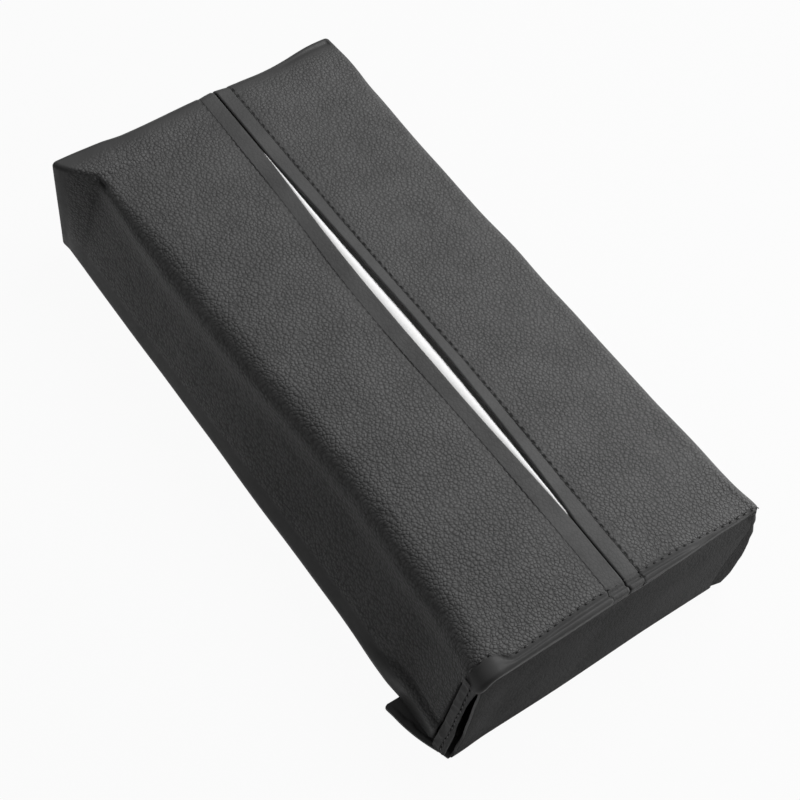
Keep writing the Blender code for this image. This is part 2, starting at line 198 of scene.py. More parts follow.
def makeLeather(name, shade=1.0, grain=1.0, flat=None, holes=None, gloss=1.0, matt=0.0):
    # flat and holes turn the piece's own millimetres into shares of smooth leather and of pits; both shares
    # also darken the tone as painted shade.
    finish = Finish(name, grey(leather["dark"]), leather["roughness"])
    finish.set("Specular IOR Level", leather["specular"] * gloss)
    place = finish.place()
    across, along = finish.cloth()
    height = grainHeight(finish, place)
    smoothAndShade = flat(finish, across, along) if flat else None
    strength = (1.0 - smoothAndShade) * grain if smoothAndShade is not None else grain
    mottle = finish.noise(place, leather["mottleSize"], 3.0)
    tone = height * 0.4 * strength + mottle.ramp(0.3, 0.7) * 0.2 + 0.4
    # painted shade: the pressed smooth zones are drawn darker
    if smoothAndShade is not None:
        tone = tone * (1.0 - smoothAndShade * leather["pressedPaintedShade"])
    pits = holes(finish, across, along) if holes else None
    # painted shade in the stitch pits
    if pits is not None:
        tone = tone * (1.0 - pits * leather["pitPaintedShade"])
    rough = leather["roughness"] + matt
    finish.set("Roughness", rough + 0.1 * (1.0 - height) + finish.noise(place, 5.0) * 0.06)
    loose = finish.bump(finish.noise(place, leather["slackSize"], 1.0), leather["slackDepth"], 0.7)
    fine = finish.bump(finish.noise(place, leather["fineSize"], 2.0), leather["fineDepth"], 0.6, loose)
    relief = height * strength
    if pits is not None:
        relief = relief - pits
    dark, light = grey(leather["dark"] * shade), grey(leather["light"] * shade)
    return finish.coat(tone, dark, light, relief, leather["grainDepth"], 0.8, fine)


def makeBacking():
    # The knitted cloth on the inside of the leather
    finish = Finish("backing_cloth", grey(0.16), 0.9)
    across, along = finish.cloth()
    loops = across.wave(0.9) * along.wave(0.7)
    return finish.coat(loops, grey(0.11), grey(0.2), loops, 0.12, 0.7)


def makeCutEdge():
    # The bare cut through the leather: paler core, slightly fibrous, lightened further as a painted
    # highlight on the rims
    finish = Finish("cut_edge_and_highlight", grey(0.1), 0.75)
    fibres = finish.noise(finish.place(), 0.4, 3.0)
    return finish.coat(fibres, grey(0.09), grey(0.22), fibres, 0.05, 0.6)


def makeThread():
    finish = Finish("black_thread", grey(0.006), 0.55)
    twist = finish.noise(finish.place(), 0.25, 1.0)
    return finish.coat(twist, grey(0.004), grey(0.018), twist, 0.05, 0.8)


def makePaper():
    finish = Finish("tissue_paper", grey(0.86), 0.92)
    place = finish.place()
    across, along = finish.cloth()
    emboss = across.wave(1.6) * along.wave(1.6)
    pulp = finish.noise(place, 1.1, 4.0)
    soft = finish.bump(finish.noise(place, 6.0, 2.0), 0.3, 0.5)
    return finish.coat(pulp, grey(0.82, 0.004), grey(0.93), emboss + pulp, 0.06, 0.5, soft)


def makePile():
    # The cut ends and folds of the sheets, seen as fine level lines
    finish = Finish("tissue_pile_paper", grey(0.84), 0.92)
    place = finish.place()
    height = finish.node("ShaderNodeSeparateXYZ", inputs={0: place}, output=2)
    wander = finish.noise(place, 20.0, 2.0) * 0.0012
    layers = (height + wander).wave(0.9 * mm)
    pulp = finish.noise(place, 1.0, 3.0)
    return finish.coat(layers, grey(0.7), grey(0.92), layers + pulp * 0.5, 0.25, 0.6)


def makeWebbing():
    # Flat woven elastic: ribs along the band and the weft between them
    finish = Finish("elastic_webbing", grey(0.02), 0.8)
    across, along = finish.cloth()
    ribs = along.wave(1.4)
    weft = (across + ribs * 0.4).wave(0.8)
    weave = ribs * 0.6 + weft * 0.4
    return finish.coat(weave, grey(0.008), grey(0.035), weave, 0.2, 0.8)


def makeTape(name, size, depth):
    # Hook or loop tape: a nap of short stiff fibres
    finish = Finish(name, grey(0.02), 0.85)
    place = finish.place()
    nap = finish.noise(place, size, 4.0, 0.7)
    return finish.coat(nap.ramp(0.35, 0.65), grey(0.006), grey(0.05), nap, depth, 1.0)


def blend(start, end, share):
    return start + (end - start) * share


def ease(share):
    share = min(max(share, 0.0), 1.0)
    return share * share * (3.0 - 2.0 * share)


def over(value, span):
    # Eases from 0 at the start of a span to 1 at its end.
    return ease((value - span[0]) / (span[1] - span[0]))


def hump(value, centre, width):
    return math.exp(-((value - centre) / width) ** 2)


def rise(value, settings):
    # An amount that eases in from a start to an end
    amount, *span = settings
    return amount * over(value, span)


def mound(value, settings):
    # An amount that is whole at a centre and fades over a width
    amount, centre, width = settings
    return amount * hump(value, centre, width)


def sway(x, y, z, size, seed=0.0):
    # A slow noise from about -1 to 1, for the give of soft leather
    return noise.noise(Vector((x / size + seed, y / size, z / size)))


def gridPiece(name, columns, rows, shape, materials, cloth, out=None):
    # A level grid whose points are moved to shape(across, along), both shares from 0 to 1.
    # cloth is its pattern's size in millimetres or a function of both shares; out is where it faces.
    bm = bmesh.new()
    bmesh.ops.create_grid(bm, x_segments=columns, y_segments=rows, size=0.5, calc_uvs=True)
    layer = bm.loops.layers.uv.verify()
    for face in bm.faces:
        for loop in face.loops:
            across, along = loop.vert.co.x + 0.5, loop.vert.co.y + 0.5
            u, v = cloth(across, along) if callable(cloth) else (across * cloth[0], along * cloth[1])
            loop[layer].uv = (u / uvUnit, v / uvUnit)
    for vert in bm.verts:
        vert.co = shape(vert.co.x + 0.5, vert.co.y + 0.5)
    obj = meshPiece(name, bm, materials)
    if out:
        faceOut(obj, out)
    return obj


def block(bm, size, centre):
    bmesh.ops.create_cube(bm, size=1.0)
    bmesh.ops.scale(bm, vec=size, verts=bm.verts)
    bmesh.ops.translate(bm, vec=centre, verts=bm.verts)


def meshPiece(name, bm, materials):
    mesh = bpy.data.meshes.new(name)
    bm.to_mesh(mesh)
    bm.free()
    mesh.transform(Matrix.Scale(mm, 4) @ Matrix.Translation(seamPlace))
    for material in materials:
        mesh.materials.append(material)
    mesh.shade_smooth()
    obj = bpy.data.objects.new(name, mesh)
    bpy.context.scene.collection.objects.link(obj)
    return obj


def faceOut(obj, direction):
    # Turns an open surface so that its faces look the given way on average.
    total = sum((face.normal * face.area for face in obj.data.polygons), Vector())
    if total.dot(Vector(direction)) < 0:
        obj.data.flip_normals()


def thicken(obj, thickness, offset=-1.0, backing=0, edge=0, rim=0.0):
    solid = obj.modifiers.new("thickness", "SOLIDIFY")
    solid.thickness = thickness * mm
    solid.offset = offset
    solid.use_quality_normals = True
    solid.material_offset = backing
    solid.material_offset_rim = edge
    if rim:
        bevel = obj.modifiers.new("rim", "BEVEL")
        bevel.width = rim * mm
        bevel.segments = 2
        bevel.limit_method = "ANGLE"
        bevel.angle_limit = math.radians(50)
    for modifier in list(obj.modifiers):
        with bpy.context.temp_override(object=obj, active_object=obj):
            bpy.ops.object.modifier_apply(modifier=modifier.name)
    return obj


def join(name, first, *others):
    # Joins finished pieces into one, keeping their materials.
    with bpy.context.temp_override(active_object=first, selected_editable_objects=[first, *others]):
        bpy.ops.object.join()
    first.name = name
    first.data.name = name
    return first


def settle(obj, body, slot, *nodes):
    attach(obj, body)
    if nodes:
        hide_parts(*nodes)
    return obj


# Settings in brackets are (amount, start, end) where rise takes them, (amount, centre, width)
# where mound does, and (start, end) where over does.

# The cover's outline across and along, round the CAD solids
cover = {
    "rear": 120.0,
    "front": -120.0,
    "top": 56.0,
    "clearance": 3.4,
    "leather": 1.2,
    "seam": 0.3,
    "roll": 3.2,
    "wallRoll": 1.5,      # the rear edge is rolled tighter on the walls
    "wallRollSpan": (0.30, 0.44),
    "topSpread": 1.4,     # crowds the top's points towards the slit
    "halfTop": (67.0, 56.5, 61.0),        # left side: rear, middle, front
    "flare": (16.0, 30.0),                # reach of both ends' widths, from the rear and the front
    "waist": (3.2, -32.0, 42.0),
    "rightHalf": ((-122.0, 61.2), (-108.0, 60.2), (-92.0, 60.8), (-64.0, 59.5), (-36.0, 58.9), (3.0, 58.4),
                  (32.0, 57.3), (61.0, 57.2), (101.0, 57.3), (122.0, 55.1)),
    "shoulder": {"left": (2.0, 9.0, 8.5), "right": (2.0, 6.0, 3.9)},
    "shoulderReach": {"left": (62.0, 30.0), "right": (26.0, 30.0)},
    "panelStart": 0.06,   # from the sewn line
    "footHalf": 62.5,
    "footSplay": 2.3,
    "footCorner": (0.5, 115.0, 119.0),
    "foot": 4.0,
    "footFront": 1.6,     # the foot's bend is sharper towards the mouth
    "footFrontSpan": (-70.0, -100.0),
    "lip": 5.0,
}


def between(table, value):
    for (low, first), (high, second) in zip(table, table[1:]):
        if value <= high:
            return blend(first, second, ease((value - low) / (high - low)))
    return table[-1][1]


def endShares(y, rearReach, frontReach):
    rear = ease(1.0 - (cover["rear"] - y) / rearReach)
    return rear, ease(1.0 - (y - cover["front"]) / frontReach)


def threeWay(values, y, rearReach, frontReach):
    # Middle value, turning into the rear and the front one near the ends
    rear, front = endShares(y, rearReach, frontReach)
    return values[1] + (values[0] - values[1]) * rear + (values[2] - values[1]) * front


def topHalf(side, y):
    if side == "right":
        return between(cover["rightHalf"], y)
    return threeWay(cover["halfTop"], y, *cover["flare"]) - mound(y, cover["waist"])


def shoulderRadius(side, y):
    return threeWay(cover["shoulder"][side], y, *cover["shoulderReach"][side])


def footHalf(y):
    return cover["footHalf"] - cover["footSplay"] * y / cover["rear"] + rise(y, cover["footCorner"])


# The slit's two lips and the lines where their hems are sewn to the panels
slit = {
    "rearTip": 82.5,
    "frontTip": -91.0,
    "halfOpening": 2.9,
    "rearGap": 0.24,
    "frontGap": 0.1,
    "gapSpan": (-60.0, 80.0),
    "middle": 0.85,       # the gap lies a little to the right, and wanders
    "wander": ((-0.5, 34.0, 40.0), (0.3, -70.0, 22.0), (0.2, -15.0, 30.0)),
    # the sewn line beside each lip: its place at both ends of a span, and how it bows out
    "edge": {"left": (5.6, 6.45, (2.7, 16.0, 48.0)), "right": (7.1, 7.1, (1.2, -28.0, 48.0))},
    "edgeSpan": (60.0, -60.0),
    "fold": 0.8,
    "foldSpan": (0.42, 0.72),            # shares of the tape's width that the fold takes up
    "tape": 0.65,
    "rise": 0.9,          # of the lips at the middle of the slit
    "endRise": (0.35, -40.0, 80.0),      # and beyond its rear tip
    "sag": 0.2,           # the stitched edge lies this much below the top
}


def slitShare(y):
    # 1 half way along the slit, 0 at its tips and beyond
    middle = (slit["rearTip"] + slit["frontTip"]) / 2
    share = (y - middle) / ((slit["rearTip"] - slit["frontTip"]) / 2)
    return max(1.0 - share * share, 0.0)


def halfGap(y):
    gap = blend(slit["frontGap"], slit["rearGap"], over(y, slit["gapSpan"]))
    return gap + (slit["halfOpening"] - gap) * slitShare(y)


def gapMiddle(y):
    return slit["middle"] + sum(mound(y, part) for part in slit["wander"])


def lipOut(side, y):
    # Distance of a lip's nose from the middle plane
    return halfGap(y) + sideSign[side] * gapMiddle(y)


def edgeOut(side, y):
    # Distance of the sewn line from the middle plane
    rear, front, bow = slit["edge"][side]
    return blend(rear, front, over(y, slit["edgeSpan"])) + mound(y, bow)


# How the slack leather of the side panels is drawn in and creased
slack = {
    "undercut": math.radians(-3.0),   # how far the shoulder turns past upright
    "rearFade": {"left": (12.0, 15.0), "right": (9.0, 25.0)},    # from the rear edge, where the ear is taut
    "frontFade": (7.0, 26.0),
    "crownFront": 0.45,               # share of the crown that is left at the front
    "crown": {"left": 2.3, "right": 1.0},        # the top falls this much towards the shoulder
    "earDroop": {"left": 1.8, "right": 0.6},
    "droopReach": 24.0,
    "crownPower": 2.4,
    "crease": 0.3,                    # depth of the fold under the shoulder
    "creaseWidth": 8.0,
    "notch": (1.7, 104.5, 2.8),       # its sharp start behind the left ear
    "notchAcross": (0.54, 0.055),
    "rearGroove": (0.45, 117.2, 0.9),            # behind the bead of the right rear corner
    "rearGrooveSpan": (22.0, 36.0),
    "footOut": (0.6, -80.0, 13.0),    # the left foot swells out, then draws in beside the tab
    "footIn": (0.8, -88.0, -98.0),
    "footAcross": 0.06,
    "hollow": (0.55, 30.0, 10.0),     # the right half sinks a little behind the slit's middle
    "wander": 0.35,
    "wanderSize": 26.0,
    "bulge": (3.2, -75.0, -113.0),    # the right wall swells beside the mouth
    "bulgeHeight": (24.0, 17.0),
}

# The fold along the foot of the walls, which grows and sinks towards the mouth
tuck = {
    "depth": (1.0, -72.0, -98.0),
    "width": 1.4,
    "height": 16.0,
    "sink": (6.0, -94.0, -68.0),
    "ridge": (1.2, 4.2, 3.6),         # the leather swells this much, so far below it, over this width
}


def slackShare(side, y, frontRest=0.0):
    near, far = slack["rearFade"][side]
    rear = ease((cover["rear"] - y - near) / (far - near))
    near, far = slack["frontFade"]
    return rear * blend(frontRest, 1.0, ease((y - cover["front"] - near) / (far - near)))


# Shares of a panel's width at which its top, shoulder, wall and foot end; the lip is the rest
topShare, shoulderShare, wallShare, footShare = 0.44, 0.60, 0.88, 0.95


def hermite(start, leave, end, arrive, t):
    t2, t3 = t * t, t * t * t
    first = start * (2 * t3 - 3 * t2 + 1) + leave * (t3 - 2 * t2 + t)
    return first + end * (3 * t2 - 2 * t3) + arrive * (t3 - t2)


def facing(angle):
    return Vector((math.cos(angle), math.sin(angle)))


def sectionPoint(side, y, across):
    # A point of the panel's outline across and up, and its outward normal.
    radius, half = shoulderRadius(side, y), topHalf(side, y)
    loose = slackShare(side, y)
    inner = edgeOut(side, y) + cover["panelStart"]
    droop = slack["earDroop"][side] * endShares(y, slack["droopReach"], slack["droopReach"])[0]
    fall = droop + slack["crown"][side] * slackShare(side, y, slack["crownFront"])
    power = slack["crownPower"]
    tilt = math.atan(power * fall / (half - inner))
    centre = Vector((half - radius, cover["top"] - fall - radius * math.cos(tilt)))
    bend = blend(cover["foot"], cover["footFront"], over(y, cover["footFrontSpan"]))
    foot = Vector((footHalf(y) - bend, cover["clearance"] + bend))
    if across <= topShare:
        share = (across / topShare) ** cover["topSpread"]
        x = blend(inner, centre.x + radius * math.sin(tilt), share)
        slope = math.tan(tilt) * share ** (power - 1)
        return Vector((x, cover["top"] - fall * share ** power)), Vector((slope, 1.0)).normalized()
    gap = centre - foot
    taut = math.atan2(gap.y, gap.x) - math.acos((bend - radius) / gap.length)
    turn = blend(taut, slack["undercut"], loose)
    if across <= shoulderShare:
        share = (across - topShare) / (shoulderShare - topShare)
        normal = facing(blend(math.pi / 2 - tilt, turn, share))
        return centre + normal * radius, normal
    start = centre + facing(turn) * radius
    if across <= wallShare:
        share = (across - shoulderShare) / (wallShare - shoulderShare)
        end = foot + facing(taut) * bend
        reach = (end - start).length
        leave = Vector((math.sin(turn), -math.cos(turn))) * reach * blend(1.0, 0.8, loose)
        arrive = Vector((math.sin(taut), -math.cos(taut))) * reach
        point = hermite(start, leave, end, arrive, share)
        ahead = hermite(start, leave, end, arrive, share + 0.01) - point
        normal = Vector((-ahead.y, ahead.x)).normalized()
        return point - normal * wallFolds(side, y, share * reach, point.y, loose), normal
    if across <= footShare:
        normal = facing(blend(taut, -math.pi / 2, (across - wallShare) / (footShare - wallShare)))
        return foot + normal * bend, normal
    share = (across - footShare) / (1.0 - footShare)
    lip = cover["lip"] + cover["foot"] - bend
    return foot - Vector((lip * share, bend)), Vector((0.0, -1.0))


def wallFolds(side, y, below, height, loose):
    # Depth of the creases in the wall: one under the shoulder, one along the foot.
    step = (below / slack["creaseWidth"]) ** 2
    fold = slack["crease"] * step * math.exp(1.0 - step) * loose
    level = tuck["height"] - rise(y, tuck["sink"])
    swell, under, width = tuck["ridge"]
    ridge = swell * hump(height, level - under, width)
    return fold + rise(y, tuck["depth"]) * (hump(height, level, tuck["width"]) - ridge)


def endSpread(share, crowd=0.72):
    # Crowds the rows of a grid towards both ends.
    return share - crowd * math.sin(2 * math.pi * share) / (2 * math.pi)


# The front hem, which caps the flap and wraps over the tops of the mouth strips
hem = {
    "reach": 0.5,
    "roll": 1.5,
    "drop": 1.9,
    "setback": 6.4,       # of the wall's edge behind the front
    "wallRoll": 1.7,
    "cornerStart": 0.605,
    "cornerFade": 0.03,
    "dip": 0.25,
    "dipWidth": 0.5,
    "step": 1.0,          # the hem steps down this much past its stitches, then rises to its fold
    "stepLength": 1.5,
    "crest": 0.8,         # of the rise, behind the fold
    "leastClimb": 0.9,
    "fullDepth": 2.4,     # a hem narrower than this steps down less
    "cornerCalm": 0.75,   # the step and the drop fade out by this share at the left corner
    "calmSpan": (-48.0, -53.0),
    "calmAcross": (0.38, 0.52),
    # the stitched line and the shift of the folded edge, by place across
    "line": ((-64.0, -114.2), (-51.5, -114.4), (-47.5, -117.9), (-42.0, -117.9), (-34.0, -117.5),
             (-26.0, -117.0), (-18.0, -116.6), (-5.0, -116.4), (8.0, -116.7), (21.0, -117.0),
             (34.0, -117.7), (46.0, -118.7), (64.0, -119.3)),
    "draw": ((-62.0, -0.9), (-30.0, -0.6), (0.0, -0.1), (20.0, 0.2), (45.0, 1.1), (62.0, 1.2)),
    "drawAlong": (-110.0, -118.0),
    "drawUp": (44.0, 50.0),
}

# Threads of the top's seams
sewing = {
    "pillow": 0.3,        # the panel's edge rolls down this much to the slit's hem
    "pillowReach": 0.9,
    "pitch": 3.05,
    "length": 2.0,
    "width": 0.6,
    "height": 0.4,
    "start": {"left": 111.0, "right": 117.0},       # rear end of each row along the slit
    "end": -119.5,
    "beyond": {"left": 0.02, "right": 0.07},        # the front row ends this much before the hem's corner
    "corner": {"pitch": 4.0, "length": 2.2, "width": 1.1, "height": 0.4},
    "cornerEnd": -50.5,
    "cornerGap": 9,       # points of the row left bare behind the corner's stitches
    "front": {"pitch": 3.3, "length": 2.4, "width": 0.8, "height": 0.4},
    "strip": {"pitch": 2.9, "length": 2.5, "width": 0.85, "height": 0.4},
}


def frontLine(x):
    # The stitched line of the front hem, before the edge is drawn in or out
    return between(hem["line"], x) - 0.9 * between(hem["draw"], x)


def hemLift(x, y):
    # The leather steps down at the stitches and rises again to the folded edge.
    ahead = frontLine(x) - y
    crest = frontLine(x) - cover["front"] - hem["crest"]
    climb = ease((ahead - hem["stepLength"]) / max(crest - hem["stepLength"], hem["leastClimb"]))
    low = hem["step"] * ease(ahead / hem["stepLength"]) * (1.0 - climb) * min(crest / hem["fullDepth"], 1.0)
    low *= 1.0 - hem["cornerCalm"] * over(x, hem["calmSpan"])
    return -hem["dip"] * hump(ahead, 0.0, hem["dipWidth"]) - low


# The rear edge is not square: both corners are drawn out, the right one most.
ear = {
    "draw": 0.9,
    "right": (2.6, 18.0, 48.0),
    "dip": (1.2, 0.0, -35.0),         # of the left half, before its corner
    "left": (0.8, -38.0, -48.0),
    "along": (88.0, 122.0),           # where the drawing sets in, from the front and from below
    "up": (8.0, 52.0),
}


def rearDraw(x):
    return ear["draw"] + rise(x, ear["right"]) - rise(x, ear["dip"]) + rise(x, ear["left"])


def drawn(place):
    # Both ends keep their set near the base and are drawn most at the top.
    rear = over(place.y, ear["along"]) * over(place.z, ear["up"])
    front = over(place.y, hem["drawAlong"]) * over(place.z, hem["drawUp"])
    return place + Vector((0.0, rearDraw(place.x) * rear + between(hem["draw"], place.x) * front, 0.0))


def skin(side, across, y):
    # Outer surface of the panel at one place along the seam, before its ends are rolled
    point, normal = sectionPoint(side, y, across)
    x = sideSign[side] * point.x
    lift = 0.0
    if across < topShare:
        lift -= sewing["pillow"] * max(1.0 - (point.x - edgeOut(side, y)) / sewing["pillowReach"], 0.0) ** 2
        if side == "right":
            lift -= mound(x, slack["hollow"]) * ease(y / 40.0)
            lift -= mound(y, slack["rearGroove"]) * over(x, slack["rearGrooveSpan"])
    if across < hem["cornerStart"]:
        lift += hemLift(x, y)
    if across <= footShare:
        give = sway(point.x, y, point.y, slack["wanderSize"], side == "left")
        lift += give * slack["wander"] * slackShare(side, y)
    if side == "left":
        foot = mound(y, slack["footOut"]) - rise(y, slack["footIn"])
        lift += foot * hump(across, wallShare, slack["footAcross"])
        lift -= mound(y, slack["notch"]) * hump(across, *slack["notchAcross"])
    if side == "right" and across > topShare:
        lift += rise(y, slack["bulge"]) * hump(point.y, *slack["bulgeHeight"])
    point = point + normal * lift
    sign = sideSign[side]
    return Vector((sign * point.x, y, point.y)), Vector((sign * normal.x, 0.0, normal.y))


def panelRows(side, across, along):
    # Where a row lies: place along, turn of the rolled edge, roll radius, straight drop, sense of the roll
    corner = ease((across - hem["cornerStart"]) / hem["cornerFade"])
    rearRoll = blend(cover["roll"], cover["wallRoll"], over(across, cover["wallRollSpan"]))
    frontRoll = blend(hem["roll"], hem["wallRoll"], corner)
    drop = hem["drop"] * (1.0 - corner)
    if side == "left":
        drop *= 1.0 - hem["cornerCalm"] * over(across, hem["calmAcross"])
    rearStart = cover["rear"] - rearRoll
    frontStart = cover["front"] - hem["reach"] * (1.0 - corner) + hem["setback"] * corner + frontRoll
    rearTurn, frontTurn = rearRoll * math.pi / 2, frontRoll * math.pi / 2
    whole = rearTurn + rearStart - frontStart + frontTurn + drop
    path = endSpread(along) * whole
    if path < rearTurn:
        return rearStart, (rearTurn - path) / rearRoll, rearRoll, 0.0, 1
    if path <= whole - frontTurn - drop:
        return rearStart - (path - rearTurn), 0.0, 0.0, 0.0, 1
    if path <= whole - drop:
        return frontStart, (path - whole + frontTurn + drop) / frontRoll, frontRoll, 0.0, -1
    return frontStart, math.pi / 2, frontRoll, path - whole + drop, -1


def panelPoint(side, across, along):
    start, turn, roll, drop, way = panelRows(side, across, along)
    y = start + way * roll * math.sin(turn)
    place, normal = skin(side, across, y)
    return drawn(place - normal * (roll * (1.0 - math.cos(turn)) + drop))


def panelCloth(side, across, along):
    # Signed distance from the sewn line, set off, and distance from the front edge
    spans = ((topShare, 48.0), (shoulderShare, 14.0), (wallShare, 40.0), (footShare, 7.0), (1.0, 5.0))
    distance, begin = 0.0, 0.0
    for end, length in spans:
        share = min(max((across - begin) / (end - begin), 0.0), 1.0)
        distance += length * (share ** cover["topSpread"] if begin == 0.0 else share)
        begin = end
    return sideSign[side] * (distance + seamOffset), (1.0 - endSpread(along)) * 242.0


# Where the panels are pressed smooth, and darkened there as painted shade
smoothingAndShade = {
    "seam": (0.3, 6.0),
    "seamShare": 0.55,
    "hem": 6.8,           # width of the front hem, less towards both sides and more at the left corner
    "hemEdge": (-0.3, 0.9),
    "right": (3.3, 15.0, 49.0),
    "left": (0.8, 20.0, 44.0),
    "leftCorner": (2.2, 53.0, 57.0),
    "wall": (0.85, 60.0, 66.0),
    "rear": (232.0, 237.5),
    "foot": (93.0, 97.0),
}


def smoothAndShadeShare(value, name):
    amount, low, high = smoothingAndShade[name]
    return value.ramp(low, high) * amount


def panelSmoothAndShade(finish, across, along):
    # Pressed smooth beside the slit's hem, on the front hem, over the rear edge and along the foot; the
    # same share darkens the tone as painted shade
    distance, leftward = abs(across) - seamOffset, 0.0 - across
    seam = (1.0 - distance.ramp(*smoothingAndShade["seam"])) * smoothingAndShade["seamShare"]
    line = smoothingAndShade["hem"] - smoothAndShadeShare(across, "right") - smoothAndShadeShare(leftward, "left")
    line = (line + smoothAndShadeShare(leftward, "leftCorner")) * (1.0 - smoothAndShadeShare(distance, "wall"))
    front = 1.0 - (along - line).ramp(*smoothingAndShade["hemEdge"])
    rear, foot = along.ramp(*smoothingAndShade["rear"]), distance.ramp(*smoothingAndShade["foot"])
    return seam.most(front).most(rear).most(foot)


def panelPitsAndShade(finish, across, along):
    # The needle pulls the edge down at each stitch of the slit's hems, and each pit is darkened as painted
    # shade.
    near = 1.0 - (abs(across) - seamOffset).ramp(0.35, 1.1)
    return near * along.wave(sewing["pitch"]).ramp(0.25, 0.8)


def makePanels(materials):
    for side in ("left", "right"):
        obj = gridPiece(side + "Panel", 150, 215, lambda a, b: panelPoint(side, a, b), materials,
                        lambda a, b: panelCloth(side, a, b), (sideSign[side], 0.0, 0.0))
        settle(thicken(obj, cover["leather"], backing=1), "cover", "grained_leather", side + "_panel")
    print("stage: side panels")


def lipPoint(side, across, along):
    # across runs from the sewn edge over the fold to the lower layer's hidden edge.
    start, turn, roll, drop, way = panelRows(side, 0.0, along)
    lip, outer = lipOut(side, start), edgeOut(side, start)
    fold, (begin, end) = slit["fold"], slit["foldSpan"]
    centre = lip + fold
    if across < begin:
        share = across / begin
        x, depth = blend(outer, centre, share), slit["sag"] * (1.0 - share) ** 3
    elif across < end:
        angle = (across - begin) / (end - begin) * math.pi
        x, depth = centre - fold * math.sin(angle), fold * (1.0 - math.cos(angle))
    else:
        x, depth = blend(centre, outer - 0.4, (across - end) / (1.0 - end)), 2 * fold
    openness = slitShare(start)
    tilt = min(max((outer - x) / (outer - lip), 0.0), 1.0)
    depth -= blend(rise(start, slit["endRise"]), slit["rise"], openness ** 0.6) * tilt ** 1.3
    depth -= hemLift(sideSign[side] * x, start - (roll * math.sin(turn) if way < 0 else 0.0))
    depth += 0.1 * sway(x * 2.0, start, 0.0, 14.0, 9.0 * sideSign[side])
    y = start + way * (roll - depth) * math.sin(turn) if roll else start
    z = cover["top"] - depth - (roll - depth) * (1.0 - math.cos(turn)) if roll else cover["top"] - depth
    return drawn(Vector((sideSign[side] * x, y, z - drop)))


def makeLips(materials):
    for side in ("left", "right"):
        obj = gridPiece(side + "SlitHem", 46, 250, lambda a, b: lipPoint(side, a, b), materials,
                        lambda a, b: (a * 19.0, (1.0 - b) * 240.0))
        # the two layers face opposite ways, so the highest face decides
        highest = max(obj.data.polygons, key=lambda face: face.center.z)
        if highest.normal.z < 0:
            obj.data.flip_normals()
        thicken(obj, slit["tape"], backing=1, edge=2)
        settle(obj, "cover", "pressed_leather", "slit_binding_" + side)
    print("stage: hems of the slit")


def stitchRow(bm, path, settings, tilt=0.12):
    # Sinks one short thread after another into the leather along a path of (place, normal).
    gone, target = 0.0, settings["pitch"] / 2
    for (place, normal), (after, nextNormal) in zip(path, path[1:]):
        step = (after - place).length
        while target <= gone + step:
            share = (target - gone) / step
            spot = place.lerp(after, share)
            ahead = (after - place).normalized()
            up = normal.lerp(nextNormal, share).normalized()
            side = up.cross(ahead).normalized()
            ahead = (ahead + side * tilt).normalized()
            side = up.cross(ahead)
            jitter = 1.0 + 0.12 * sway(spot.x, spot.y, spot.z, 2.0)
            frameOf = Matrix((ahead * settings["length"] / 2 * jitter, side * settings["width"] / 2,
                              up * settings["height"] / 2)).transposed().to_4x4()
            frameOf.translation = spot - up * settings["height"] * 0.22
            bmesh.ops.create_icosphere(bm, subdivisions=1, radius=1.0, matrix=frameOf)
            target += settings["pitch"]
        gone += step


def makeStitches(thread):
    bm = bmesh.new()
    for side, start in sewing["start"].items():
        path = []
        for index in range(241):
            y = blend(start, sewing["end"], index / 240)
            x = sideSign[side] * (edgeOut(side, y) + 0.1)
            place = drawn(Vector((x, y, cover["top"] - 0.2 + hemLift(x, y))))
            path.append((place, Vector((0.0, 0.0, 1.0))))
        stitchRow(bm, path, sewing)
    row = []
    for side, beyond in sewing["beyond"].items():
        path = []
        for index in range(181):
            across = blend(hem["cornerStart"] - beyond, 0.0, index / 180)
            x = sideSign[side] * sectionPoint(side, frontLine(0.0), across)[0].x
            place, normal = skin(side, across, frontLine(x))
            path.append((drawn(place + normal * 0.14), normal))
        row += path if side == "left" else path[::-1]
    corner = [spot for spot in row if spot[0].x < sewing["cornerEnd"]]
    stitchRow(bm, corner, sewing["corner"])
    stitchRow(bm, row[len(corner) + sewing["cornerGap"]:], sewing["front"])
    obj = meshPiece("topStitches", bm, [thread])
    settle(obj, "cover", "pressed_leather")
    print("stage: stitches")


# Strips at the mouth's two sides: a face beside the wall, and a part folded in behind the flap
mouth = {
    "start": -0.15,       # from the edge of the wall
    "corner": {"left": 0.9, "right": 1.7},
    "turn": {"left": math.radians(150.0), "right": math.radians(102.0)},
    "return": {"left": 7.0, "right": 11.5},
    "layer": 0.8,
    "outerLayer": 0.42,
    "outer": 3.9,         # width of the outer layer, which ends at the stitches
    "tuckUnder": 1.6,     # the outer layer dives under the wall's edge
    "bottom": 2.6,
    "top": {"left": 46.6, "right": 52.6},
    # width of the face and half width of the mouth, by height
    "face": {"left": ((0.0, 5.2), (12.0, 5.0), (22.0, 4.1), (34.0, 4.2), (48.0, 5.6)),
             "right": ((0.0, 5.1), (60.0, 5.1))},
    "half": {"left": ((0.0, 63.6), (25.0, 61.9), (50.0, 60.4)),
             "right": ((0.0, 63.0), (7.0, 67.2), (20.0, 68.0), (34.0, 66.0), (44.0, 63.0), (53.0, 60.2))},
    "flare": (2.4, 30.0, 4.0),        # the right strip's front corner stands out near the foot
    "ripple": 0.8,
    "innerRipple": 0.2,
    "edgeWander": 0.3,
    "standOff": 0.5,      # of the outer layer from the inner
    "overlap": 1.4,
    "lean": 0.6,          # the tops stand back under the hem
}


